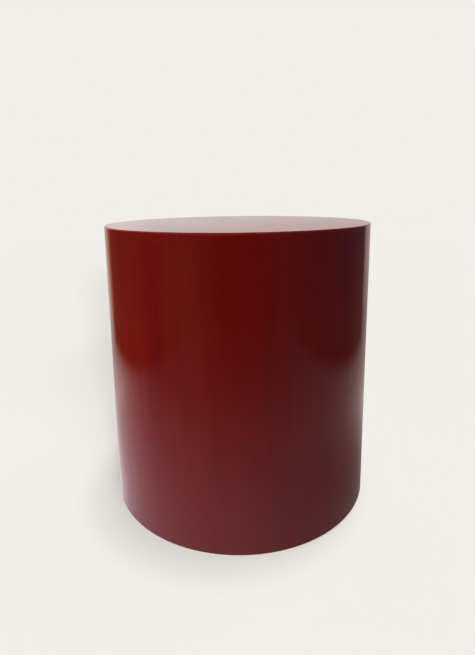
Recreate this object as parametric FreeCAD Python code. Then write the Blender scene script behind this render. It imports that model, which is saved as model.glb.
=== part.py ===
import FreeCAD, Part
import math
import os

# A round side table: a lacquered drum, closed top and bottom.
# Two laminations of bending plywood are wrapped round a frame of three ring ribs and
# housed uprights, a solid board caps the drum, and a base board with nailed glides
# closes it underneath. Millimetres, +Z up. The origin is on the floor on the drum's
# axis, and the front of the table faces -Y.

FULL_TURN = 360.0  # degrees
BACK = 90.0  # degrees from +X, where the inner lamination's joint faces +Y

# Overall
drum_diameter = 483.0
table_height = 508.0
floor_gap = 2.5  # the wall's lower edge stands this far off the floor

# Boards and sheets
top_thickness = 18.0
rib_thickness = 18.0
base_thickness = 12.0
outer_ply_thickness = 5.0
inner_ply_thickness = 5.0
glue_line = 0.2  # radial gap at each glued curved face
seam_gap = 1.0  # open joint where the inner lamination's ends meet

# Edges
top_arris = 1.5
foot_arris = 1.2
board_arris = 0.8

# Ribs and uprights
rib_width = 55.0
upright_count = 8
upright_width = 45.0
upright_depth = 20.0
upright_arris = 2.0
housing_clearance = 0.25  # on each side of an upright in its housing

# Base board
base_recess = 2.5  # the board's underside sits this far inside the wall's lower edge
base_side_gap = 0.5

# Glides
glide_diameter = 24.0
glide_arris = 1.5
glide_dish_depth = 1.6  # the hollow that keeps the nail's head off the floor
glide_dish_diameter = 9.0
nail_head_diameter = 7.0
nail_head_thickness = 1.0
nail_shank_diameter = 2.4
nail_length = 11.0  # under the head
nail_point_length = 2.5

# Countersunk screws
screw_diameter = 4.0
screw_head_diameter = 8.0
screw_head_height = 2.2
screw_point_length = 3.0
screw_sink = 0.4  # the head's face lies this far under the surface
screw_hole_clearance = 0.25  # radial, in the piece that the screw passes through
screw_grip_clearance = 0.05  # radial, in the piece that the screw bites into
recess_span = 4.4
recess_width = 1.1
recess_depth = 1.5
base_screw_length = 20.0
top_screw_length = 25.0
upright_screw_length = 40.0

overrun = 2.0  # cutting tools run this far past the faces that they cut

# Derived radii
outer_radius = drum_diameter / 2
outer_ply_inner_radius = outer_radius - outer_ply_thickness
inner_ply_outer_radius = outer_ply_inner_radius - glue_line
inner_ply_inner_radius = inner_ply_outer_radius - inner_ply_thickness
rib_outer_radius = inner_ply_inner_radius - glue_line
rib_inner_radius = rib_outer_radius - rib_width
base_radius = inner_ply_inner_radius - base_side_gap
fixing_radius = (rib_outer_radius + rib_inner_radius) / 2
housing_floor_radius = rib_outer_radius - upright_depth

# Derived heights
base_bottom = floor_gap + base_recess
base_top = base_bottom + base_thickness
top_bottom = table_height - top_thickness
lower_rib_bottom = base_top
upper_rib_bottom = top_bottom - rib_thickness
middle_rib_bottom = (lower_rib_bottom + upper_rib_bottom) / 2
rib_bottoms = {
    "lower_rib": lower_rib_bottom,
    "middle_rib": middle_rib_bottom,
    "upper_rib": upper_rib_bottom,
}

# Directions round the drum, in degrees
upright_step = FULL_TURN / upright_count
upright_angles = [BACK + upright_step * i for i in range(upright_count)]
screw_angles = [angle + upright_step / 2 for angle in upright_angles]
glide_angles = upright_angles[1::2]  # under every second upright, clear of the seam

Z_AXIS = FreeCAD.Vector(0, 0, 1)
Y_AXIS = FreeCAD.Vector(0, 1, 0)
ORIGIN = FreeCAD.Vector(0, 0, 0)


def point(x, z):
    """A point in the XZ plane, where every turned outline is drawn."""
    return FreeCAD.Vector(x, 0, z)


def line(start, end):
    return Part.LineSegment(start, end).toShape()


def rounded_corner(corner, radius, towards_x, towards_z):
    """A quarter arc in the XZ plane that rounds a square corner, and its two ends."""
    on_x = point(corner.x + towards_x * radius, corner.z)
    on_z = point(corner.x, corner.z + towards_z * radius)
    centre = point(on_x.x, on_z.z)
    reach = radius * math.sqrt(0.5)
    middle = point(centre.x - towards_x * reach, centre.z - towards_z * reach)
    return Part.Arc(on_x, middle, on_z).toShape(), on_x, on_z


def turned(edges):
    """Revolves a closed outline in the XZ plane about the drum's axis."""
    face = Part.Face(Part.Wire(Part.__sortEdges__(edges)))
    return face.revolve(ORIGIN, Z_AXIS, FULL_TURN)


def tube(outer, inner, bottom, height):
    base = point(0, bottom)
    return Part.makeCylinder(outer, height, base).cut(Part.makeCylinder(inner, height, base))


def turn_to(shape, angle):
    """Turns a copy of a shape that was made on the +X side round to another side."""
    return shape.rotated(ORIGIN, Z_AXIS, angle)


def around(shape, angles):
    return [turn_to(shape, angle) for angle in angles]


def cut_all(shape, tools):
    """Cuts tools that don't touch each other out of a shape."""
    return shape.cut(Part.makeCompound(tools))


def one_solid(shape):
    """The single solid of a boolean's result."""
    (solid,) = shape.Solids
    return solid


# Screws and their holes stand on the XY plane with the head's face at the origin and
# the point up, and are then carried to their places.


def countersunk_screw(length):
    shank_radius = screw_diameter / 2
    shank = Part.makeCylinder(shank_radius, length - screw_head_height - screw_point_length,
                              point(0, screw_head_height))
    head = Part.makeCone(screw_head_diameter / 2, shank_radius, screw_head_height)
    tip = Part.makeCone(shank_radius, 0, screw_point_length, point(0, length - screw_point_length))
    slot = Part.makeBox(recess_span, recess_width, recess_depth,
                        FreeCAD.Vector(-recess_span / 2, -recess_width / 2, 0))
    recess = slot.fuse(slot.rotated(ORIGIN, Z_AXIS, FULL_TURN / 4))
    return one_solid(head.fuse([shank, tip]).cut(recess).removeSplitter())


def screw_passage(depth):
    """The countersunk clearance hole in the piece under a screw's head."""
    head_radius = screw_head_diameter / 2 + screw_hole_clearance
    hole_radius = screw_diameter / 2 + screw_hole_clearance
    mouth = Part.makeCylinder(head_radius, overrun, point(0, -overrun))
    seat = Part.makeCone(head_radius, hole_radius, screw_head_height)
    hole = Part.makeCylinder(hole_radius, depth + overrun)
    return mouth.fuse([seat, hole])


def screw_grip(length):
    """The pilot hole in the piece that a screw bites into, ending with its point."""
    pilot_radius = screw_diameter / 2 + screw_grip_clearance
    straight = length - screw_point_length
    bore = Part.makeCylinder(pilot_radius, straight)
    cone = Part.makeCone(pilot_radius, 0, screw_point_length + screw_grip_clearance,
                         point(0, straight))
    return bore.fuse(cone)


def upward_at(shape, radius, height):
    """Stands a screw or its hole at a radius on the +X side, pointing up."""
    return shape.translated(FreeCAD.Vector(radius, 0, height))


def inward_at(shape, radius, height):
    """Lays a screw or its hole on the +X side, pointing at the drum's axis."""
    return shape.rotated(ORIGIN, Y_AXIS, -FULL_TURN / 4).translated(point(radius, height))


# Frame


def upright_blank(clearance):
    """The batten's section, or its housing's where a clearance is given."""
    width = upright_width + clearance * 2
    depth = upright_depth + clearance
    return Part.makeBox(depth + overrun, width, table_height,
                        FreeCAD.Vector(rib_outer_radius - depth, -width / 2, 0))


def make_upright():
    """A batten with eased inner corners and a face planed to the drum's curve."""
    height = top_bottom - base_top
    batten = upright_blank(0).common(
        Part.makeCylinder(rib_outer_radius, height, point(0, base_top)))
    inner_corners = [edge for edge in batten.Edges
                     if edge.BoundBox.XMax < housing_floor_radius + upright_arris
                     and edge.BoundBox.ZLength > height / 2]
    batten = batten.makeFillet(upright_arris, inner_corners)
    passages = []
    for bottom in rib_bottoms.values():
        passages.append(inward_at(screw_passage(upright_depth),
                                  rib_outer_radius - screw_sink, bottom + rib_thickness / 2))
    return one_solid(cut_all(batten, passages))


def make_rib(bottom):
    """A ring with a housing for each upright and pilots for the uprights' screws."""
    ring = tube(rib_outer_radius, rib_inner_radius, bottom, rib_thickness)
    ring = cut_all(ring, around(upright_blank(housing_clearance), upright_angles))
    pilot = inward_at(screw_grip(upright_screw_length), rib_outer_radius - screw_sink,
                      bottom + rib_thickness / 2)
    return cut_all(ring, around(pilot, upright_angles))


def make_lower_rib():
    """The lower rib also takes the points of the base board's screws."""
    pilot = upward_at(screw_grip(base_screw_length), fixing_radius, base_bottom + screw_sink)
    return one_solid(cut_all(make_rib(lower_rib_bottom), around(pilot, screw_angles)))


def make_middle_rib():
    return one_solid(make_rib(middle_rib_bottom))


def make_upper_rib():
    """The upper rib passes the screws that draw the top down."""
    passage = upward_at(screw_passage(rib_thickness), fixing_radius,
                        upper_rib_bottom + screw_sink)
    return one_solid(cut_all(make_rib(upper_rib_bottom), around(passage, screw_angles)))


# Skins and boards


def make_inner_skin():
    """The first lamination, bent round the frame, its ends meeting on an upright."""
    skin = tube(inner_ply_outer_radius, inner_ply_inner_radius, floor_gap,
                top_bottom - floor_gap)
    joint = Part.makeBox(outer_radius, seam_gap, table_height,
                         FreeCAD.Vector(0, -seam_gap / 2, 0))
    return one_solid(skin.cut(turn_to(joint, BACK)))


def make_outer_skin():
    """The lacquered lamination, with its joint filled and its lower edge eased."""
    inner_low = point(outer_ply_inner_radius, floor_gap)
    inner_high = point(outer_ply_inner_radius, top_bottom)
    outer_high = point(outer_radius, top_bottom)
    arc, arc_low, arc_high = rounded_corner(point(outer_radius, floor_gap), foot_arris, -1, 1)
    return one_solid(turned([
        line(inner_low, inner_high),
        line(inner_high, outer_high),
        line(outer_high, arc_high),
        arc,
        line(arc_low, inner_low),
    ]))


def make_top_panel():
    """A solid board, flush with the wall, whose upper edge is eased."""
    centre_low = point(0, top_bottom)
    centre_high = point(0, table_height)
    outer_low = point(outer_radius, top_bottom)
    arc, arc_inner, arc_outer = rounded_corner(point(outer_radius, table_height),
                                               top_arris, -1, -1)
    board = turned([
        line(centre_low, outer_low),
        line(outer_low, arc_outer),
        arc,
        line(arc_inner, centre_high),
        line(centre_high, centre_low),
    ])
    pilot = upward_at(screw_grip(top_screw_length), fixing_radius,
                      upper_rib_bottom + screw_sink)
    return one_solid(cut_all(board, around(pilot, screw_angles)))


def make_base_panel():
    """A board let up inside the wall, screwed to the lower rib and holding the glides."""
    centre_low = point(0, base_bottom)
    centre_high = point(0, base_top)
    outer_high = point(base_radius, base_top)
    arc, arc_inner, arc_outer = rounded_corner(point(base_radius, base_bottom),
                                               board_arris, -1, 1)
    board = turned([
        line(centre_low, centre_high),
        line(centre_high, outer_high),
        line(outer_high, arc_outer),
        arc,
        line(arc_inner, centre_low),
    ])
    passage = upward_at(screw_passage(base_thickness), fixing_radius,
                        base_bottom + screw_sink)
    nail_hole = nail_shape(screw_grip_clearance).translated(point(fixing_radius, 0))
    board = cut_all(board, around(passage, screw_angles))
    return one_solid(cut_all(board, around(nail_hole, glide_angles)))


# Glides


def nail_shape(clearance):
    """A flat-headed nail driven up through a glide, or its hole with a clearance."""
    head = Part.makeCylinder(nail_head_diameter / 2, nail_head_thickness,
                             point(0, glide_dish_depth - nail_head_thickness))
    shank_radius = nail_shank_diameter / 2 + clearance
    straight = nail_length - nail_point_length
    shank = Part.makeCylinder(shank_radius, straight, point(0, glide_dish_depth))
    tip = Part.makeCone(shank_radius, 0, nail_point_length + clearance,
                        point(0, glide_dish_depth + straight))
    return head.fuse([shank, tip]).removeSplitter()


def make_glide():
    """A round pad whose rim slides on the floor, with a dish for the nail's head."""
    rim = glide_diameter / 2
    dish = glide_dish_diameter / 2
    hole = nail_shank_diameter / 2 + screw_grip_clearance
    arc, arc_inner, arc_outer = rounded_corner(point(rim, 0), glide_arris, -1, 1)
    pad = turned([
        line(point(hole, base_bottom), point(rim, base_bottom)),
        line(point(rim, base_bottom), arc_outer),
        arc,
        line(arc_inner, point(dish, 0)),
        line(point(dish, 0), point(dish, glide_dish_depth)),
        line(point(dish, glide_dish_depth), point(hole, glide_dish_depth)),
        line(point(hole, glide_dish_depth), point(hole, base_bottom)),
    ])
    return one_solid(pad.translated(point(fixing_radius, 0)))


# Fixings, one group of separate solids each


def make_base_screws():
    screw = upward_at(countersunk_screw(base_screw_length), fixing_radius,
                      base_bottom + screw_sink)
    return Part.makeCompound(around(screw, screw_angles))


def make_top_screws():
    screw = upward_at(countersunk_screw(top_screw_length), fixing_radius,
                      upper_rib_bottom + screw_sink)
    return Part.makeCompound(around(screw, screw_angles))


def make_upright_screws():
    screws = []
    for bottom in rib_bottoms.values():
        screw = inward_at(countersunk_screw(upright_screw_length),
                          rib_outer_radius - screw_sink, bottom + rib_thickness / 2)
        screws += around(screw, upright_angles)
    return Part.makeCompound(screws)


def make_glide_nails():
    nail = one_solid(nail_shape(0)).translated(point(fixing_radius, 0))
    return Part.makeCompound(around(nail, glide_angles))


def make_table():
    """Every piece of the table by the name of its file."""
    pieces = {
        "top_panel": make_top_panel(),
        "upper_rib": make_upper_rib(),
        "middle_rib": make_middle_rib(),
        "lower_rib": make_lower_rib(),
        "inner_skin": make_inner_skin(),
        "outer_skin": make_outer_skin(),
        "base_panel": make_base_panel(),
        "base_screws": make_base_screws(),
        "top_screws": make_top_screws(),
        "upright_screws": make_upright_screws(),
        "glide_nails": make_glide_nails(),
    }
    for number, upright in enumerate(around(make_upright(), upright_angles), start=1):
        pieces[f"upright_{number}"] = upright
    for number, glide in enumerate(around(make_glide(), glide_angles), start=1):
        pieces[f"glide_{number}"] = glide
    return pieces


os.makedirs("parts", exist_ok=True)
for name, shape in make_table().items():
    shape.exportStep(f"parts/{name}.step")
    print(name, "solids", len(shape.Solids), "volume", round(shape.Volume))
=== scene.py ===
"""A round side table: a closed drum in deep red gloss lacquer, on low glides.

The lacquered wall and top, the glides and their nails are turned here as fine meshes over
their CAD solids. The other CAD pieces, inside and under the drum, each get a finish. Lengths
are in metres, in the frame's own axes: +Z up, the front facing -Y.
"""
import math

import bmesh
import bpy
from mathutils import Matrix, Vector

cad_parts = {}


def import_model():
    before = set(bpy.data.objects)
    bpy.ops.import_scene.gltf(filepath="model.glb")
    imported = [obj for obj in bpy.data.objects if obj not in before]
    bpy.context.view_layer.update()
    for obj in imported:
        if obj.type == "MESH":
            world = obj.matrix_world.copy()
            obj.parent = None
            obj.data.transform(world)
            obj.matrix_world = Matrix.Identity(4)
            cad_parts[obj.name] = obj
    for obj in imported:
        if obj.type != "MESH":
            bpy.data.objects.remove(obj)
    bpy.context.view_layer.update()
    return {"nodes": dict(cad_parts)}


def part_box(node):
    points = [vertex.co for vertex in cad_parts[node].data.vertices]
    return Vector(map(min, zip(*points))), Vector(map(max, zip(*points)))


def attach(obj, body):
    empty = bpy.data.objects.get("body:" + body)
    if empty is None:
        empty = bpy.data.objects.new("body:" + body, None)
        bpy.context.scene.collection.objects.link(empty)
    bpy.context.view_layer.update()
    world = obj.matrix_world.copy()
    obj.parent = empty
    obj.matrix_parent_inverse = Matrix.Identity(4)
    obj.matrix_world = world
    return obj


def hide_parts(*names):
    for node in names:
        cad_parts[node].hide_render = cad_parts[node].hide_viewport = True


MM = 0.001
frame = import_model()

# Sizes read from the frame
wall_low, wall_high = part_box("outer_skin")
drum_radius = wall_high.x
inner_ply_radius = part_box("inner_skin")[1].x
base_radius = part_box("base_panel")[1].x
foot_height = wall_low.z
joint_height = wall_high.z
table_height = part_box("top_panel")[1].z

# Counts and sizes that the boxes don't give
upright_count = 8
glide_count = 4
merge_distance = 0.001 * MM
skin_thickness = 5 * MM
bent_veneer = 1 * MM
birch_veneer = 1.5 * MM
top_arris = 1.5 * MM
foot_arris = 1.2 * MM
arris_steps = 8
turning_steps = 720
wall_rows = 24
rim_rings = (2, 3, 4)  # rings of the top next to its edge, in widths of the arris
ring_shares = (0.8, 0.5, 0.2, 0)  # and further in, as shares of the radius
wall_dip = 0.2 * MM  # the lamination sinks this far between the uprights behind it

# Small dents in the top's edge: degrees from the front towards the left, and depth
rim_dents = ((37.0, 0.30 * MM), (33.5, 0.35 * MM), (27.7, 0.30 * MM), (20.9, 0.25 * MM), (6.5, 0.25 * MM))
dent_reach = 4 * MM

# Fixings under the drum
glide_diameter = 24 * MM
glide_arris = 1.5 * MM
glide_lip = 0.4 * MM
glide_steps = 72
dish_diameter = 9 * MM
dish_depth = 1.6 * MM
nail_head_diameter = 7 * MM
nail_head_thickness = 1 * MM
nail_dome = 0.25 * MM
nail_shank_diameter = 2.4 * MM
nail_length = 11 * MM
nail_point = 2.5 * MM
nail_steps = 32
small_arc_steps = 4

# Wear, overspray and a painted highlight on the top's rim: how far each reaches from where it is strongest
foot_rub_reach = 3 * MM
scuff_reach = 16 * MM
# The top's rim carries rubbed wear and a painted highlight
rim_rub_and_highlight_inset = 0.5 * MM
rim_rub_and_highlight_reach = 3.5 * MM
solid_mist_reach = 1 * MM
ply_mist_reach = 11 * MM
ply_mist_low = 2 * MM
ply_mist_high = 8 * MM
board_mist_reach = 34 * MM
floor_grime_low = 0.1 * MM
floor_grime_high = 1.2 * MM

# How deep the relief of each finish is
peel_depth = 0.0025 * MM
wave_depth = 0.04 * MM
nib_depth = 0.02 * MM
ply_edge_depth = 0.05 * MM
pore_depth = 0.04 * MM
fibre_depth = 0.03 * MM
scratch_depth = 0.03 * MM
bloom_depth = 0.02 * MM

# Camera, fitted to the outline of the drum in the photo
photo_width = 475
photo_height = 655
focal_pixels = 461.93
axis_pixel_x = 237.5
axis_pixel_y = 279.46
camera_place = Vector((0, -0.87437, 0.56032))
camera_pitch = 0.1834
camera_roll = -0.0124
camera_yaw = 0.0011

# Light. A lamp of plain_level shows a facing colour as it is written.
plain_level = math.pi
dim_fill = 0.02
paper_light_size = 0.5
background_colour = (0.887, 0.863, 0.823, 1)
cooled_floor_colour = (0.836, 0.863, 0.823, 1)
floor_radius = 8
round_steps = 128

# Soft suns for the floor alone: name, the share of the plain level that they lay on it,
# spread, azimuth from the front towards the left, and elevation, all three in degrees
floor_suns = (
    ("wide_floor_sun", 0.05, 50, 0, 90),
    ("side_floor_sun", 0.12, 16, -32, 32),
    ("floor_sun", 0.4885, 12, -130, 85.5),
    ("low_floor_sun", 0.32, 11, -18, 10))

# The room that the lacquer reflects
room_radius = 1.6
room_height = 2.6
paper_half_width = 0.89
paper_fade = 0.12


# Mesh helpers


def add_object(name, data):
    piece = bpy.data.objects.new(name, data)
    bpy.context.scene.collection.objects.link(piece)
    return piece


def finish_mesh(bm, name, material, sharp_angle=40):
    """Writes a bmesh to an object with smooth faces that break at sharp edges."""
    bmesh.ops.remove_doubles(bm, verts=bm.verts, dist=merge_distance)
    bmesh.ops.recalc_face_normals(bm, faces=bm.faces)
    for face in bm.faces:
        face.smooth = True
    for edge in bm.edges:
        edge.smooth = edge.calc_face_angle(0) < math.radians(sharp_angle)
    mesh = bpy.data.meshes.new(name)
    bm.to_mesh(mesh)
    bm.free()
    mesh.materials.append(material)
    return add_object(name, mesh)


def arc_points(centre_x, centre_z, radius, start, end, steps):
    """Points of an arc in the XZ plane, with its angles in degrees from +X."""
    points = []
    for i in range(steps + 1):
        angle = math.radians(start + (end - start) * i / steps)
        points.append((centre_x + radius * math.cos(angle), centre_z + radius * math.sin(angle)))
    return points


def turn_outline(bm, outline, steps, closed=True, centre=Vector((0, 0, 0))):
    """Turns an outline of (radius, height) points about an upright axis."""
    verts = [bm.verts.new(centre + Vector((x, 0, z))) for x, z in outline]
    edges = [bm.edges.new(pair) for pair in zip(verts, verts[1:])]
    if closed:
        edges.append(bm.edges.new((verts[-1], verts[0])))
    bmesh.ops.spin(bm, geom=verts + edges, cent=centre, axis=(0, 0, 1),
                   angle=math.tau, steps=steps, use_merge=True)


def ride_on_table(piece, slot, *nodes):
    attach(piece, "root")
    if nodes:
        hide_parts(*nodes)
    return piece


# Material helpers


def node(tree, kind, inputs=None, **settings):
    """Adds a shader node. An input given as a socket is linked, any other value is set."""
    made = tree.nodes.new(kind)
    for key, value in settings.items():
        setattr(made, key, value)
    for key, value in (inputs or {}).items():
        if isinstance(value, bpy.types.NodeSocket):
            tree.links.new(value, made.inputs[key])
        else:
            made.inputs[key].default_value = value
    return made


def maths(tree, operation, *values):
    return node(tree, "ShaderNodeMath", dict(enumerate(values)), operation=operation).outputs[0]


def times(tree, first, *others):
    """Multiplies two or more values."""
    for other in others:
        first = maths(tree, "MULTIPLY", first, other)
    return first


def total(tree, first, *others):
    for other in others:
        first = maths(tree, "ADD", first, other)
    return first


def step(tree, value, low, high, start=0.0, end=1.0):
    """Goes smoothly from start to end as a value goes from low to high."""
    made = node(tree, "ShaderNodeMapRange",
                {"Value": value, "From Min": low, "From Max": high, "To Min": start, "To Max": end},
                interpolation_type="SMOOTHSTEP")
    return made.outputs[0]


def band(tree, value, low, high, soft, strength=1.0):
    """Is strength between low and high, with soft sides, and nothing elsewhere."""
    rise = step(tree, value, low - soft, low + soft)
    fall = step(tree, value, high - soft, high + soft, strength, 0.0)
    return times(tree, rise, fall)


def turned_step(tree, azimuth, low, high, start=0.0, end=1.0):
    """A step between two azimuths in degrees."""
    return step(tree, azimuth, math.radians(low), math.radians(high), start, end)


def sector(tree, azimuth, low, high, soft, strength=1.0):
    """A band between two azimuths in degrees."""
    return band(tree, azimuth, math.radians(low), math.radians(high), math.radians(soft), strength)


def mixed(tree, factor, first, second):
    """Mixes two colours."""
    return node(tree, "ShaderNodeMix", {0: factor, 6: first, 7: second}, data_type="RGBA").outputs[2]


def noise(tree, place, scale, detail=2.0, roughness=0.5, distortion=0.0):
    inputs = {"Vector": place, "Scale": scale, "Detail": detail, "Roughness": roughness,
              "Distortion": distortion}
    return node(tree, "ShaderNodeTexNoise", inputs).outputs["Fac"]


def stretched(tree, place, scale, turn=(0, 0, 0)):
    """Turns and scales a place, so that a pattern read there runs long one way."""
    return node(tree, "ShaderNodeMapping", {"Vector": place, "Scale": scale, "Rotation": turn}).outputs[0]


def length_of(tree, place, centre=(0, 0, 0)):
    return node(tree, "ShaderNodeVectorMath", {0: place, 1: centre}, operation="DISTANCE").outputs["Value"]


def split(tree, vector):
    return node(tree, "ShaderNodeSeparateXYZ", {0: vector}).outputs


def axis_distance(tree, place):
    """How far a place is from the drum's upright axis."""
    return length_of(tree, node(tree, "ShaderNodeVectorMath", {0: place, 1: (1, 1, 0)},
                                operation="MULTIPLY").outputs[0])


def facing_up(tree):
    """How far a face looks up: 1 on top, 0 on a side and -1 below."""
    return split(tree, node(tree, "ShaderNodeTexCoord").outputs["Normal"])[2]


def new_material(name):
    """A material with its tree, its shader and the object's own coordinates."""
    material = bpy.data.materials.new(name)
    material.use_nodes = True
    tree = material.node_tree
    place = node(tree, "ShaderNodeTexCoord").outputs["Object"]
    return material, tree, tree.nodes["Principled BSDF"], place


def bumped(tree, shader, height):
    """Raises a surface by a height in metres."""
    bump = node(tree, "ShaderNodeBump", {"Strength": 1.0, "Distance": 1.0, "Height": height})
    tree.links.new(bump.outputs[0], shader.inputs["Normal"])


def effect(name, inputs, outputs):
    """A node group shared by several materials. Returns it with its inner ends."""
    tree = bpy.data.node_groups.new(name, "ShaderNodeTree")
    kinds = {"vector": "NodeSocketVector", "colour": "NodeSocketColor", "value": "NodeSocketFloat"}
    for label, kind in inputs.items():
        tree.interface.new_socket(label, in_out="INPUT", socket_type=kinds[kind])
    for label, kind in outputs.items():
        tree.interface.new_socket(label, in_out="OUTPUT", socket_type=kinds[kind])
    return tree, node(tree, "NodeGroupInput").outputs, node(tree, "NodeGroupOutput").inputs


def place_effect(tree, group, **inputs):
    return node(tree, "ShaderNodeGroup", inputs, node_tree=group).outputs


# Effects


def make_lacquer_depth():
    """Colour down in the lacquer: a broad band of crimson and one of brick left of the front,
    fine upright streaks of both all round, and a mottle. A wider band of brick further left,
    where the key light falls, is a painted warm tint of the lit side."""
    tree, given, result = effect(
        "lacquer_depth",
        {"Place": "vector", "Streaks": "value", "Red": "colour", "Crimson": "colour", "Brick": "colour"},
        {"Color": "colour"})
    upright = stretched(tree, given["Place"], (1, 1, 0.10))
    x, y, z = split(tree, given["Place"])
    from_front = maths(tree, "ARCTAN2", maths(tree, "MULTIPLY", x, -1.0), maths(tree, "MULTIPLY", y, -1.0))
    crimson_band = sector(tree, from_front, 28, 36, 3.5, 0.85)
    brick_band = sector(tree, from_front, 10, 23, 3.5, 0.6)
    # Painted warm tint on the left side, where the key light falls
    lit_side_warm_tint = sector(tree, from_front, 39, 75, 3.5, 0.6)
    cloud = noise(tree, upright, 26, 3)
    crimson = maths(tree, "MAXIMUM", crimson_band, step(tree, cloud, 0.54, 0.72, 0.0, 0.7))
    brick = maths(tree, "MAXIMUM", maths(tree, "MAXIMUM", brick_band, lit_side_warm_tint),
                  step(tree, noise(tree, upright, 33, 3, distortion=0.4), 0.54, 0.72, 0.0, 0.7))
    upper = step(tree, z, 0.06, 0.24, 0.25, 1.0)
    colour = mixed(tree, times(tree, brick, upper, given["Streaks"]), given["Red"], given["Brick"])
    colour = mixed(tree, times(tree, crimson, upper, given["Streaks"]), colour, given["Crimson"])
    mottle = noise(tree, given["Place"], 150, 3, 0.6)
    fine = noise(tree, stretched(tree, given["Place"], (1, 1, 0.03)), 220, 2)
    broad = noise(tree, stretched(tree, given["Place"], (1, 1, 0.05)), 75, 2)
    level = total(tree, step(tree, mottle, 0.3, 0.7, 0.97, 1.01), step(tree, fine, 0.3, 0.7, -0.05, 0.06),
                  step(tree, broad, 0.3, 0.7, -0.06, 0.06))
    tree.links.new(node(tree, "ShaderNodeVectorMath", {0: colour, "Scale": level},
                        operation="SCALE").outputs[0], result["Color"])
    return tree


def make_gloss_skin():
    """The skin of a polished lacquer: orange peel, long waves, hairlines and dust nibs."""
    tree, given, result = effect(
        "gloss_skin", {"Place": "vector", "Polish": "value", "Hairlines": "value"},
        {"Roughness": "value", "Height": "value"})
    place = given["Place"]
    peel = times(tree, noise(tree, place, 300, 1), peel_depth)
    waves = times(tree, noise(tree, stretched(tree, place, (1, 1, 0.25)), 18, 1), wave_depth)
    cells = node(tree, "ShaderNodeTexVoronoi", {"Vector": place, "Scale": 45, "Randomness": 1.0})
    chosen = step(tree, split(tree, cells.outputs["Color"])[0], 0.93, 0.94)
    nibs = times(tree, step(tree, cells.outputs["Distance"], 0.008, 0.022, 1.0, 0.0), chosen, nib_depth)
    tree.links.new(total(tree, peel, waves, nibs), result["Height"])
    haze = step(tree, noise(tree, place, 7, 3), 0.40, 0.72, 0.0, 0.035)
    along = noise(tree, stretched(tree, place, (1, 0.006, 0.006), (0.2, 0.5, 0.7)), 1300, 1)
    across = noise(tree, stretched(tree, place, (0.006, 1, 0.006), (0.6, 0.1, -0.4)), 1500, 1)
    lines = maths(tree, "MAXIMUM", step(tree, along, 0.68, 0.74), step(tree, across, 0.70, 0.76))
    scratched = times(tree, lines, given["Hairlines"], step(tree, noise(tree, place, 11, 2), 0.45, 0.65))
    tree.links.new(total(tree, given["Polish"], haze, scratched), result["Roughness"])
    return tree


def make_edge_rub_and_highlight():
    """A mask along a ring about the drum's axis, broken up as rubbing leaves it. It marks wear at the
    wall's foot, and on the top's rim wear with a painted highlight.
    """
    tree, given, result = effect(
        "edge_rub_and_highlight", {"Place": "vector", "Radius": "value", "Height": "value", "Reach": "value"},
        {"Mask": "value"})
    out = maths(tree, "SUBTRACT", axis_distance(tree, given["Place"]), given["Radius"])
    up = maths(tree, "SUBTRACT", split(tree, given["Place"])[2], given["Height"])
    distance = maths(tree, "SQRT", total(tree, times(tree, out, out), times(tree, up, up)))
    near = step(tree, maths(tree, "DIVIDE", distance, given["Reach"]), 0.2, 1.0, 1.0, 0.0)
    worn = step(tree, noise(tree, given["Place"], 90, 4, 0.7), 0.42, 0.62)
    tree.links.new(times(tree, near, worn), result["Mask"])
    return tree


def make_ply_edge():
    """The cut edge of plywood: veneers that alternate with depth, with gaps and dark glue."""
    tree, given, result = effect(
        "ply_edge", {"Place": "vector", "Depth": "value", "Veneer": "value"},
        {"Color": "colour", "Height": "value"})
    layer = maths(tree, "DIVIDE", given["Depth"], given["Veneer"])
    wander = times(tree, maths(tree, "SUBTRACT", noise(tree, given["Place"], 60, 2), 0.5), 0.25)
    layer = total(tree, layer, wander)
    within = maths(tree, "FRACT", layer)
    alternate = step(tree, maths(tree, "FRACT", maths(tree, "MULTIPLY", layer, 0.5)), 0.47, 0.53)
    fibre = noise(tree, given["Place"], 700, 3, 0.6)
    long_grain = mixed(tree, fibre, (0.50, 0.33, 0.18, 1), (0.66, 0.47, 0.28, 1))
    end_grain = mixed(tree, fibre, (0.24, 0.13, 0.06, 1), (0.40, 0.24, 0.12, 1))
    colour = mixed(tree, alternate, long_grain, end_grain)
    glue = maths(tree, "MAXIMUM", step(tree, within, 0.0, 0.07, 1.0, 0.0), step(tree, within, 0.93, 1.0))
    colour = mixed(tree, times(tree, glue, 0.7), colour, (0.07, 0.035, 0.02, 1))
    tree.links.new(colour, result["Color"])
    tree.links.new(times(tree, maths(tree, "SUBTRACT", fibre, glue), ply_edge_depth), result["Height"])
    return tree


def make_wood_face():
    """The face of a board or veneer whose grain runs along X of the place it is given."""
    tree, given, result = effect(
        "wood_face", {"Place": "vector", "Pale": "colour", "Dark": "colour", "Figure": "value"},
        {"Color": "colour", "Height": "value"})
    long = stretched(tree, given["Place"], (0.10, 1, 1))
    bent = noise(tree, long, 9, 2, distortion=0.3)
    rings = maths(tree, "FRACT", times(tree, bent, given["Figure"]))
    late = step(tree, rings, 0.55, 0.95)
    pores = noise(tree, stretched(tree, given["Place"], (0.03, 1, 1)), 800, 2, 0.6)
    colour = mixed(tree, times(tree, late, 0.75), given["Pale"], given["Dark"])
    colour = mixed(tree, step(tree, pores, 0.55, 0.75, 0.0, 0.45), colour, given["Dark"])
    tree.links.new(colour, result["Color"])
    tree.links.new(times(tree, pores, -pore_depth), result["Height"])
    return tree


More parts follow.
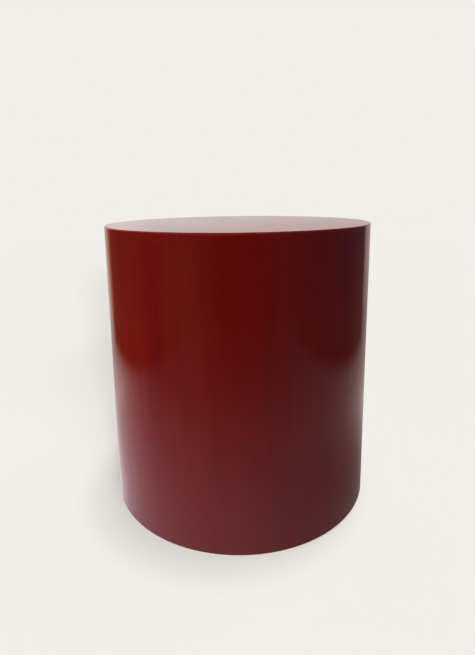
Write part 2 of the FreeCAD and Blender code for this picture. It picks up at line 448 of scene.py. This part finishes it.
def make_spray_mist():
    """A mask for lacquer that drifted past its edge: solid close to it, then fine speckle."""
    tree, given, result = effect("spray_mist", {"Place": "vector", "Cover": "value"}, {"Mask": "value"})
    speckle = noise(tree, given["Place"], 1400, 2, 0.7)
    drift = noise(tree, given["Place"], 35, 3)
    cover = total(tree, given["Cover"], times(tree, maths(tree, "SUBTRACT", drift, 0.5), 0.5))
    threshold = maths(tree, "SUBTRACT", 1.0, cover)
    over = maths(tree, "SUBTRACT", speckle, step(tree, threshold, 0.0, 1.0, 0.25, 0.78))
    tree.links.new(step(tree, over, -0.06, 0.06), result["Mask"])
    return tree


lacquer_depth = make_lacquer_depth()
gloss_skin = make_gloss_skin()
edge_rub_and_highlight = make_edge_rub_and_highlight()
ply_edge = make_ply_edge()
wood_face = make_wood_face()
spray_mist = make_spray_mist()


# Finishes

lacquer_red = (0.137, 0.0029, 0.0019, 1)
lacquer_crimson = (0.120, 0.0010, 0.0034, 1)
lacquer_brick = (0.130, 0.0056, 0.0036, 1)
# Paler red for rubbed edges; on the top's rim it is also a painted highlight
rubbed_and_highlight_red = (0.22, 0.009, 0.005, 1)
mist_red = (0.105, 0.004, 0.003, 1)


def lacquer_colour(tree, place, streaks):
    return place_effect(tree, lacquer_depth, Place=place, Streaks=streaks, Red=lacquer_red,
                        Crimson=lacquer_crimson, Brick=lacquer_brick)["Color"]


def wall_lacquer():
    """Lacquer on the wall, rubbed at the foot, that ends in a mist on the ply's lower edge."""
    material, tree, shader, place = new_material("wall_lacquer")
    colour = lacquer_colour(tree, place, 1.0)
    skin = place_effect(tree, gloss_skin, Place=place, Polish=0.055, Hairlines=0.06)
    rub = place_effect(tree, edge_rub_and_highlight, Place=place, Radius=drum_radius,
                       Height=foot_height, Reach=foot_rub_reach)["Mask"]
    colour = mixed(tree, times(tree, rub, 0.35), colour, rubbed_and_highlight_red)
    height = split(tree, place)[2]
    scuff = noise(tree, stretched(tree, place, (0.06, 0.06, 1)), 420, 2)
    low = step(tree, height, foot_height + foot_rub_reach, foot_height + scuff_reach, 0.10, 0.0)
    scuffs = times(tree, step(tree, scuff, 0.60, 0.70), low)
    layers = place_effect(tree, ply_edge, Place=place, Veneer=bent_veneer,
                          Depth=maths(tree, "SUBTRACT", drum_radius, axis_distance(tree, place)))
    under = step(tree, facing_up(tree), -0.98, -0.90, 1.0, 0.0)
    cover = step(tree, axis_distance(tree, place), drum_radius - skin_thickness,
                 drum_radius - solid_mist_reach)
    mist = place_effect(tree, spray_mist, Place=place, Cover=cover)["Mask"]
    bare = times(tree, under, maths(tree, "SUBTRACT", 1.0, mist))
    tree.links.new(mixed(tree, bare, colour, layers["Color"]), shader.inputs["Base Color"])
    rough = total(tree, skin["Roughness"], scuffs, times(tree, under, 0.3), times(tree, bare, 0.3))
    tree.links.new(rough, shader.inputs["Roughness"])
    bumped(tree, shader, total(tree, skin["Height"], times(tree, bare, layers["Height"])))
    return material


def top_lacquer():
    """Lacquer on the top, with the hairlines that wiping leaves, rubbed along its edge, where a
    paler red is also a painted highlight.
    """
    material, tree, shader, place = new_material("top_lacquer")
    colour = lacquer_colour(tree, place, 0.35)
    skin = place_effect(tree, gloss_skin, Place=place, Polish=0.06, Hairlines=0.08)
    # Rubbed wear along the rim, with a paler red that is a painted highlight of the rounded edge
    rub = place_effect(tree, edge_rub_and_highlight, Place=place, Radius=drum_radius - rim_rub_and_highlight_inset,
                       Height=table_height - rim_rub_and_highlight_inset, Reach=rim_rub_and_highlight_reach)["Mask"]
    tree.links.new(mixed(tree, times(tree, rub, 0.7), colour, rubbed_and_highlight_red), shader.inputs["Base Color"])
    tree.links.new(total(tree, skin["Roughness"], times(tree, rub, 0.08)), shader.inputs["Roughness"])
    bumped(tree, shader, skin["Height"])
    return material


def misted(tree, place, colour, from_edge, reach):
    """Lays red mist over a colour, thinning out over a reach from the wall."""
    cover = step(tree, from_edge, 0.0, reach, 0.95, 0.0)
    mist = place_effect(tree, spray_mist, Place=place, Cover=cover)["Mask"]
    return mixed(tree, mist, colour, mist_red)


def bending_ply():
    """Bending plywood on the curve: veneers on its edges, upright grain on its faces, and red
    mist on its lower edge."""
    material, tree, shader, place = new_material("bending_ply")
    from_axis = axis_distance(tree, place)
    layers = place_effect(tree, ply_edge, Place=place, Veneer=bent_veneer,
                          Depth=maths(tree, "SUBTRACT", inner_ply_radius, from_axis))
    turned = stretched(tree, place, (1, 1, 1), (0, math.pi / 2, 0))
    face = place_effect(tree, wood_face, Place=turned, Pale=(0.58, 0.40, 0.24, 1),
                        Dark=(0.36, 0.21, 0.11, 1), Figure=4.0)
    edge = step(tree, maths(tree, "ABSOLUTE", facing_up(tree)), 0.4, 0.6)
    colour = mixed(tree, edge, face["Color"], layers["Color"])
    low = step(tree, split(tree, place)[2], foot_height + ply_mist_low, foot_height + ply_mist_high,
               1.0, 0.0)
    from_wall = maths(tree, "SUBTRACT", drum_radius - skin_thickness, from_axis)
    sprayed = misted(tree, place, colour, from_wall, ply_mist_reach)
    tree.links.new(mixed(tree, low, colour, sprayed), shader.inputs["Base Color"])
    shader.inputs["Roughness"].default_value = 0.75
    bumped(tree, shader, total(tree, face["Height"], layers["Height"]))
    return material


def ring_ply():
    """Birch plywood sawn into rings: face veneer above and below, layers round the edges."""
    material, tree, shader, place = new_material("ring_ply")
    layers = place_effect(tree, ply_edge, Place=place, Depth=split(tree, place)[2], Veneer=birch_veneer)
    face = place_effect(tree, wood_face, Place=place, Pale=(0.66, 0.50, 0.33, 1),
                        Dark=(0.46, 0.30, 0.17, 1), Figure=5.0)
    flat = step(tree, maths(tree, "ABSOLUTE", facing_up(tree)), 0.4, 0.6)
    tree.links.new(mixed(tree, flat, layers["Color"], face["Color"]), shader.inputs["Base Color"])
    shader.inputs["Roughness"].default_value = 0.7
    bumped(tree, shader, total(tree, face["Height"], layers["Height"]))
    return material


def planed_pine():
    """Planed softwood with its grain upright."""
    material, tree, shader, place = new_material("planed_pine")
    turned = stretched(tree, place, (1, 1, 1), (0, math.pi / 2, 0))
    face = place_effect(tree, wood_face, Place=turned, Pale=(0.70, 0.50, 0.27, 1),
                        Dark=(0.50, 0.27, 0.10, 1), Figure=14.0)
    tree.links.new(face["Color"], shader.inputs["Base Color"])
    shader.inputs["Roughness"].default_value = 0.6
    bumped(tree, shader, face["Height"])
    return material


def raw_fibreboard():
    """Pressed fibreboard, with red mist round its margin and sander marks across it."""
    material, tree, shader, place = new_material("raw_fibreboard")
    fibre = noise(tree, place, 900, 4, 0.7)
    cloud = noise(tree, place, 16, 3)
    colour = mixed(tree, step(tree, fibre, 0.3, 0.7), (0.25, 0.155, 0.085, 1), (0.40, 0.27, 0.16, 1))
    colour = mixed(tree, step(tree, cloud, 0.4, 0.7, 0.0, 0.35), colour, (0.22, 0.135, 0.075, 1))
    sanded = noise(tree, stretched(tree, place, (0.02, 1, 1)), 1200, 1)
    colour = mixed(tree, step(tree, sanded, 0.6, 0.8, 0.0, 0.25), colour, (0.48, 0.34, 0.21, 1))
    from_wall = maths(tree, "SUBTRACT", base_radius, axis_distance(tree, place))
    tree.links.new(misted(tree, place, colour, from_wall, board_mist_reach), shader.inputs["Base Color"])
    shader.inputs["Roughness"].default_value = 0.8
    bumped(tree, shader, times(tree, total(tree, fibre, sanded), fibre_depth))
    return material


def glide_nylon():
    """Milky nylon, scuffed grey where it slides on the floor."""
    material, tree, shader, place = new_material("glide_nylon")
    grain = noise(tree, place, 500, 3)
    colour = mixed(tree, grain, (0.66, 0.64, 0.57, 1), (0.76, 0.74, 0.68, 1))
    scratch = noise(tree, stretched(tree, place, (1, 0.05, 1), (0, 0, 0.5)), 1500, 2)
    low = step(tree, split(tree, place)[2], floor_grime_low, floor_grime_high, 1.0, 0.0)
    grime = times(tree, low, step(tree, scratch, 0.35, 0.75, 0.2, 0.7))
    tree.links.new(mixed(tree, grime, colour, (0.30, 0.28, 0.25, 1)), shader.inputs["Base Color"])
    tree.links.new(total(tree, 0.35, times(tree, grime, 0.3)), shader.inputs["Roughness"])
    bumped(tree, shader, times(tree, scratch, low, scratch_depth))
    return material


def zinc_plate():
    """Bright zinc on steel, with a faint bloom and an uneven polish."""
    material, tree, shader, place = new_material("zinc_plate")
    bloom = noise(tree, place, 260, 3, 0.6)
    colour = mixed(tree, step(tree, bloom, 0.35, 0.7), (0.58, 0.59, 0.62, 1), (0.70, 0.67, 0.58, 1))
    tree.links.new(colour, shader.inputs["Base Color"])
    shader.inputs["Metallic"].default_value = 1.0
    tree.links.new(step(tree, noise(tree, place, 900, 3), 0.3, 0.7, 0.28, 0.50), shader.inputs["Roughness"])
    bumped(tree, shader, times(tree, bloom, bloom_depth))
    return material


# Lacquered pieces


def let_wall_dip(bm):
    """Sinks the wall a little between the uprights behind it, as a lamination shows them."""
    for vert in bm.verts:
        radius = math.hypot(vert.co.x, vert.co.y)
        if radius < drum_radius - foot_arris:
            continue
        angle = math.atan2(vert.co.y, vert.co.x)
        share = (vert.co.z - foot_height) / (joint_height - foot_height)
        between = (1 - math.cos(upright_count * angle)) / 2
        kept = 1 - wall_dip * between * math.sin(math.pi * share) ** 2 / radius
        vert.co.x *= kept
        vert.co.y *= kept


def build_wall(material):
    """The outer skin under its lacquer, up to the joint with the top, with its foot eased."""
    inner = drum_radius - skin_thickness
    arc = arc_points(drum_radius - foot_arris, foot_height + foot_arris, foot_arris,
                     -90, 0, arris_steps)
    outline = [(inner, joint_height), (inner, foot_height), (drum_radius - 2 * foot_arris, foot_height)]
    outline += arc
    outline += [(drum_radius, foot_height + 2 * foot_arris)]
    outline += [(drum_radius, foot_height + (joint_height - foot_height) * i / wall_rows)
                for i in range(1, wall_rows + 1)]
    bm = bmesh.new()
    turn_outline(bm, outline, turning_steps)
    let_wall_dip(bm)
    wall = finish_mesh(bm, "lacquered_wall", material)
    return ride_on_table(wall, "red_lacquer", "outer_skin")


def dent_rim(bm):
    """Presses small dents into the top's rounded edge."""
    zone = 1.2 * top_arris
    for vert in bm.verts:
        radius = math.hypot(vert.co.x, vert.co.y)
        if radius < drum_radius - zone or vert.co.z < table_height - zone:
            continue
        from_front = math.atan2(-vert.co.x, -vert.co.y)
        for angle, depth in rim_dents:
            away = abs(from_front - math.radians(angle)) * drum_radius
            if away < dent_reach:
                pressed = depth * (1 - (away / dent_reach) ** 2) ** 2
                kept = 1 - pressed / radius
                vert.co = (vert.co.x * kept, vert.co.y * kept, vert.co.z - pressed)


def build_top(material):
    """The top board under its lacquer, from the joint over the rounded edge to the middle."""
    arc = arc_points(drum_radius - top_arris, table_height - top_arris, top_arris,
                     0, 90, arris_steps)
    outline = [(0, joint_height), (drum_radius, joint_height)] + arc
    outline += [(drum_radius - ring * top_arris, table_height) for ring in rim_rings]
    outline += [(drum_radius * share, table_height) for share in ring_shares]
    bm = bmesh.new()
    turn_outline(bm, outline, turning_steps, closed=False)
    dent_rim(bm)
    top = finish_mesh(bm, "lacquered_top", material)
    return ride_on_table(top, "red_lacquer", "top_panel")


# Pieces under the drum


def box_centre(name):
    low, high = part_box(name)
    return Vector(((low.x + high.x) / 2, (low.y + high.y) / 2, 0))


def build_glide(number, material):
    """A nailed glide: a pad with a rounded rim, a moulded step and a dish for its nail."""
    name = f"glide_{number}"
    rim = glide_diameter / 2
    dish = dish_diameter / 2
    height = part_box(name)[1].z
    shank = nail_shank_diameter / 2
    lip = glide_lip
    outline = [(shank, height), (rim - lip, height), (rim - lip, height - lip), (rim, height - lip)]
    outline += arc_points(rim - glide_arris, glide_arris, glide_arris, 0, -90, arris_steps)
    outline += arc_points(dish + lip, lip, lip, -90, -180, small_arc_steps)
    outline += arc_points(dish - lip, dish_depth - lip, lip, 0, 90, small_arc_steps)
    outline += [(shank, dish_depth)]
    bm = bmesh.new()
    turn_outline(bm, outline, glide_steps, centre=box_centre(name))
    pad = finish_mesh(bm, f"nylon_glide_{number}", material)
    return ride_on_table(pad, "nylon", name)


def build_nails(material):
    """The glides' nails: low domed heads in the dishes, driven up into the board."""
    head = nail_head_diameter / 2
    shank = nail_shank_diameter / 2
    head_low = dish_depth - nail_head_thickness
    tip = dish_depth + nail_length
    dome = nail_dome
    outline = [(0, head_low - dome), (head * 0.5, head_low - dome * 0.75)]
    outline += arc_points(head - dome, head_low + dome, dome, -90, 0, small_arc_steps)
    outline += [(head, dish_depth), (shank, dish_depth), (shank, tip - nail_point), (0, tip)]
    bm = bmesh.new()
    for number in range(1, glide_count + 1):
        turn_outline(bm, outline, nail_steps, closed=False, centre=box_centre(f"glide_{number}"))
    return ride_on_table(finish_mesh(bm, "glide_nail_set", material), "zinc_steel", "glide_nails")


def dress(material, *names):
    """Gives CAD pieces a finish."""
    for name in names:
        for slot in frame["nodes"][name].material_slots:
            slot.material = material


# Camera


def camera():
    data = bpy.data.cameras.new("camera")
    data.sensor_width = 36
    data.lens = focal_pixels / photo_height * data.sensor_width
    data.shift_x = (photo_width / 2 - axis_pixel_x) / photo_height
    data.shift_y = (axis_pixel_y - photo_height / 2) / photo_height
    data.clip_start = 0.01
    data.clip_end = 100
    eye = add_object("camera", data)
    turn = (Matrix.Rotation(camera_yaw, 4, "Z")
            @ Matrix.Rotation(math.pi / 2 - camera_pitch, 4, "X")
            @ Matrix.Rotation(camera_roll, 4, "Z"))
    eye.matrix_world = Matrix.Translation(camera_place) @ turn
    bpy.context.scene.camera = eye


# Light


def world():
    """The pale background, as cameras and gloss see it, and a dim fill for everything else."""
    made = bpy.data.worlds.new("studio")
    made.use_nodes = True
    tree = made.node_tree
    path = node(tree, "ShaderNodeLightPath")
    seen = maths(tree, "MAXIMUM", path.outputs["Is Camera Ray"], path.outputs["Is Glossy Ray"])
    seen = maths(tree, "MAXIMUM", seen, path.outputs["Is Transmission Ray"])
    strength = maths(tree, "MAXIMUM", seen, dim_fill)
    background = tree.nodes["Background"]
    background.inputs["Color"].default_value = background_colour
    tree.links.new(strength, background.inputs["Strength"])
    bpy.context.scene.world = made


def sun(name, strength, spread, azimuth, elevation, receivers, blockers=None):
    """A soft sun that lights its receivers alone, and is shaded by all pieces or by its
    blockers alone. Its azimuth is from the front towards the left. Angles are in degrees."""
    data = bpy.data.lights.new(name, "SUN")
    data.energy = strength
    data.angle = math.radians(spread)
    lamp = add_object(name, data)
    turn = Matrix.Rotation(math.radians(-azimuth), 4, "Z")
    tilt = Matrix.Rotation(math.radians(90 - elevation), 4, "X")
    lamp.matrix_world = turn @ tilt
    lamp.visible_glossy = False
    lamp.light_linking.receiver_collection = receivers
    if blockers:
        lamp.light_linking.blocker_collection = blockers


def paper_light(name, place, power, receivers):
    """Light thrown up by the bright paper beside the table, strongest low on the wall."""
    data = bpy.data.lights.new(name, "AREA")
    data.shape = "DISK"
    data.size = paper_light_size
    data.energy = power
    lamp = add_object(name, data)
    lamp.matrix_world = Matrix.Translation(place) @ Matrix.Rotation(math.pi, 4, "X")
    lamp.visible_camera = False
    lamp.visible_glossy = False
    lamp.light_linking.receiver_collection = receivers


def floor():
    """The pale floor. Cameras see it lighter than it is lit, so that its shadow stays faint,
    and from below they see through it to the underside of the table. It is cooled left of the
    drum, where the red lacquer would tint the shadow, and lights the table less than it shows."""
    bm = bmesh.new()
    bmesh.ops.create_circle(bm, cap_ends=True, segments=round_steps, radius=floor_radius)
    material, tree, shader, place = new_material("pale_floor")
    path = node(tree, "ShaderNodeLightPath").outputs
    near = step(tree, length_of(tree, place), 0.25, 0.8, 0.72, 0.40)
    bounced = node(tree, "ShaderNodeVectorMath", {0: background_colour[:3], "Scale": near},
                   operation="SCALE").outputs[0]
    from_shadow = length_of(tree, place, (-0.20, -0.10, 0))
    cooled = mixed(tree, step(tree, from_shadow, 0.10, 0.38), cooled_floor_colour, background_colour)
    tree.links.new(mixed(tree, path["Is Diffuse Ray"], cooled, bounced), shader.inputs["Base Color"])
    shader.inputs["Roughness"].default_value = 1.0
    shader.inputs["Specular IOR Level"].default_value = 0.0
    even = step(tree, length_of(tree, place), 2.0, 7.0, 0.42, 1.0)
    camera_ray = path["Is Camera Ray"]
    glow = node(tree, "ShaderNodeEmission", {"Color": background_colour})
    lit = node(tree, "ShaderNodeMixShader",
               {0: times(tree, even, camera_ray), 1: shader.outputs[0], 2: glow.outputs[0]})
    clear = node(tree, "ShaderNodeBsdfTransparent")
    from_below = node(tree, "ShaderNodeNewGeometry").outputs["Backfacing"]
    surface = node(tree, "ShaderNodeMixShader", {0: from_below, 1: lit.outputs[0], 2: clear.outputs[0]})
    tree.links.new(surface.outputs[0], tree.nodes["Material Output"].inputs["Surface"])
    ground = finish_mesh(bm, "floor", material)
    ground.visible_glossy = False
    return ground


def glow_material(name):
    """A material that only gives off light, and the Emission node to fill in."""
    material, tree, shader, place = new_material(name)
    tree.nodes.remove(shader)
    glow = node(tree, "ShaderNodeEmission")
    tree.links.new(glow.outputs[0], tree.nodes["Material Output"].inputs["Surface"])
    return material, tree, glow, place


def for_gloss_only(card):
    """A card that shows in reflections but lights nothing and casts no shadow."""
    card.visible_camera = False
    card.visible_diffuse = False
    card.visible_shadow = False
    card.visible_transmission = False
    card.visible_volume_scatter = False


def pool_of_light(tree, place, centre, reach, strength):
    """Light on the floor that fades smoothly with distance from a centre."""
    falling = maths(tree, "POWER", maths(tree, "DIVIDE", length_of(tree, place, centre), reach), 1.2)
    return times(tree, maths(tree, "EXPONENT", times(tree, falling, -1.0)), strength)


def dark_level(tree, azimuth):
    """How bright the dark part of the room is, by its azimuth from the back. It is darker
    behind the camera and at the left."""
    level = turned_step(tree, maths(tree, "ABSOLUTE", azimuth), 135, 172, 0.085, 0.035)
    left_side = sector(tree, azimuth, -95, -40, 18, -0.03)
    return total(tree, level, left_side)


def back_strips(tree, azimuth, height):
    """Two bright upright strips behind the table, by their azimuth from the back. The right
    one is dimmer towards the floor."""
    left = times(tree, turned_step(tree, azimuth, -57, -41, 0.0, 0.56),
                 turned_step(tree, azimuth, -29, -23, 1.0, 0.0))
    right = sector(tree, azimuth, 30, 54, 3, 0.42)
    return total(tree, left, times(tree, right, step(tree, height, 0.0, 0.36, 0.66, 1.0)))


def reflected_floor():
    """The paper on the floor, as the lacquer reflects it: pools of light at both sides of the
    drum, at its left foot and in front, more light towards the back, and a dim patch at its
    right. The paper widens towards the back and fades at its sides into a dark brown floor."""
    bm = bmesh.new()
    bmesh.ops.create_circle(bm, cap_ends=True, segments=round_steps, radius=room_radius)
    material, tree, glow, place = glow_material("reflected_paper")
    across, along = split(tree, place)[:2]
    reach = length_of(tree, place)
    left = pool_of_light(tree, place, (-0.66, 0.21, 0), 0.35, 0.62)
    right = pool_of_light(tree, place, (0.49, 0.15, 0), 0.70, 0.44)
    foot = pool_of_light(tree, place, (-0.22, -0.07, 0), 0.30, 0.68)
    far = times(tree, step(tree, along, 0.13, 1.54), step(tree, across, -0.5, 0.5, 0.58, 0.19))
    shade = step(tree, length_of(tree, place, (0.26, -0.05, 0)), 0.0, 0.41, 0.31, 1.0)
    front = pool_of_light(tree, place, (-0.04, -0.40, 0), 0.20, 0.08)
    light = total(tree, times(tree, total(tree, left, right, far, foot), shade), front)
    widening = times(tree, maths(tree, "MAXIMUM", maths(tree, "SUBTRACT", along, 0.58), 0.0),
                     step(tree, across, -0.3, 0.3, 0.75, 1.0))
    widening = total(tree, widening, step(tree, across, -0.3, 0.3, 0.0, 0.02))
    beyond = maths(tree, "SUBTRACT", maths(tree, "ABSOLUTE", across), widening)
    paper = step(tree, beyond, paper_half_width - paper_fade, paper_half_width + paper_fade, 1.0, 0.0)
    dark = times(tree, dark_level(tree, maths(tree, "ARCTAN2", across, along)),
                 step(tree, reach, 0.7, 1.5, 0.6, 1.0))
    light = total(tree, times(tree, light, paper), dark)
    warm = maths(tree, "MAXIMUM", step(tree, reach, 0.38, 0.70), step(tree, across, 0.1, 0.4))
    tint = mixed(tree, warm, (1.06, 0.94, 1.0, 1), (1.17, 0.99, 0.94, 1))
    brown = times(tree, maths(tree, "SUBTRACT", 1.0, paper), step(tree, across, -0.3, 0.3, 1.0, 0.3))
    tint = mixed(tree, brown, tint, (2.2, 1.0, 0.62, 1))
    tree.links.new(tint, glow.inputs["Color"])
    tree.links.new(light, glow.inputs["Strength"])
    for_gloss_only(finish_mesh(bm, "reflected_floor", material))


def reflected_room():
    """The room round the table, as the lacquer reflects it: dark up to the height of the
    table but for two upright strips at the back and a low glow between them, and above that
    pale, then rosy and dimmer towards the ceiling."""
    bm = bmesh.new()
    bmesh.ops.create_cone(bm, cap_ends=False, segments=round_steps, radius1=room_radius,
                          radius2=room_radius, depth=room_height)
    bmesh.ops.translate(bm, verts=bm.verts, vec=(0, 0, room_height / 2))
    material, tree, glow, place = glow_material("reflected_walls")
    across, along, height = split(tree, place)
    azimuth = maths(tree, "ARCTAN2", across, along)
    glow_between = times(tree, sector(tree, azimuth, -24, 29, 4), step(tree, height, 0.0, 0.36, 0.34, 0.0))
    low_part = total(tree, back_strips(tree, azimuth, height), dark_level(tree, azimuth), glow_between)
    rise = step(tree, height, 0.50, 0.56)
    side = total(tree, step(tree, across, -0.6, 0.6, 0.78, 0.68),
                 step(tree, across, -0.62, -0.40, 0.13, 0.0))
    high_part = times(tree, side, step(tree, height, 0.70, 1.9, 1.0, 0.16))
    light = node(tree, "ShaderNodeMix", {0: rise, 2: low_part, 3: high_part}, data_type="FLOAT").outputs[0]
    left_tint = mixed(tree, turned_step(tree, azimuth, -63, -58), (1.9, 1.0, 0.65, 1), (4.0, 1.0, 0.40, 1))
    left_tint = mixed(tree, turned_step(tree, azimuth, -59, -46), left_tint, (1.25, 1.0, 0.82, 1))
    violet = times(tree, sector(tree, azimuth, 60, 95, 5), step(tree, height, 0.08, 0.34))
    right_tint = mixed(tree, violet, (1.20, 0.97, 0.92, 1), (1.05, 0.96, 1.25, 1))
    sideways = step(tree, across, -0.4, 0.4)
    low_tint = mixed(tree, sideways, left_tint, right_tint)
    rosy = mixed(tree, sideways, (1.03, 0.89, 0.87, 1), (1.05, 0.85, 0.82, 1))
    layers = noise(tree, stretched(tree, place, (0.03, 0.03, 1)), 110, 2)
    wavering = total(tree, height, times(tree, maths(tree, "SUBTRACT", layers, 0.5), 0.10))
    high_tint = mixed(tree, step(tree, wavering, 0.555, 0.63), (1.0, 0.98, 0.96, 1), rosy)
    high_tint = mixed(tree, step(tree, height, 0.69, 0.80), high_tint, (1.32, 0.78, 0.73, 1))
    tree.links.new(mixed(tree, rise, low_tint, high_tint), glow.inputs["Color"])
    tree.links.new(light, glow.inputs["Strength"])
    for_gloss_only(finish_mesh(bm, "reflected_room", material))


def reflected_ceiling():
    """The dark ceiling with one softbox in it, as the lacquer reflects it."""
    bm = bmesh.new()
    bmesh.ops.create_circle(bm, cap_ends=True, segments=round_steps, radius=room_radius)
    bmesh.ops.translate(bm, verts=bm.verts, vec=(0, 0, room_height))
    material, tree, glow, place = glow_material("reflected_softbox")
    across, along = split(tree, place)[:2]
    window = times(tree, band(tree, across, -0.67, -0.03, 0.06), band(tree, along, -0.13, 0.83, 0.06))
    glow.inputs["Color"].default_value = (1, 0.95, 0.92, 1)
    tree.links.new(total(tree, times(tree, window, 0.9), 0.06), glow.inputs["Strength"])
    for_gloss_only(finish_mesh(bm, "reflected_ceiling", material))


def gathered(name, pieces):
    """A collection of pieces for a lamp to light or to be blocked by."""
    group = bpy.data.collections.new(name)
    for piece in pieces:
        group.objects.link(piece)
    return group


# Scene

bpy.context.scene.view_settings.view_transform = "Standard"

steel = zinc_plate()
nylon = glide_nylon()
table = [build_wall(wall_lacquer()), build_top(top_lacquer()), build_nails(steel)]
table += [build_glide(number, nylon) for number in range(1, glide_count + 1)]
dress(bending_ply(), "inner_skin")
dress(ring_ply(), "upper_rib", "middle_rib", "lower_rib")
dress(planed_pine(), *[f"upright_{number}" for number in range(1, upright_count + 1)])
dress(raw_fibreboard(), "base_panel")
dress(steel, "base_screws", "top_screws", "upright_screws")
table += list(frame["nodes"].values())

camera()
world()
lit_pieces = gathered("lit_pieces", table)
lit_floor = gathered("lit_floor", [floor()])
sun("overhead_sun", 0.88 * plain_level, spread=30, azimuth=0, elevation=90, receivers=lit_pieces)
for name, share, spread, azimuth, elevation in floor_suns:
    strength = share * plain_level / math.sin(math.radians(elevation))
    sun(name, strength, spread, azimuth, elevation, receivers=lit_floor)
sun("key_sun", 0.86 * plain_level, spread=40, azimuth=53, elevation=12, receivers=lit_pieces)
sun("underside_sun", 0.75 * plain_level, spread=12, azimuth=0, elevation=-90, receivers=lit_pieces,
    blockers=lit_pieces)
paper_light("left_paper_light", (-0.55, -0.10, 0.01), power=1.85, receivers=lit_pieces)
paper_light("right_paper_light", (0.55, -0.05, 0.01), power=1.2, receivers=lit_pieces)
reflected_floor()
reflected_room()
reflected_ceiling()
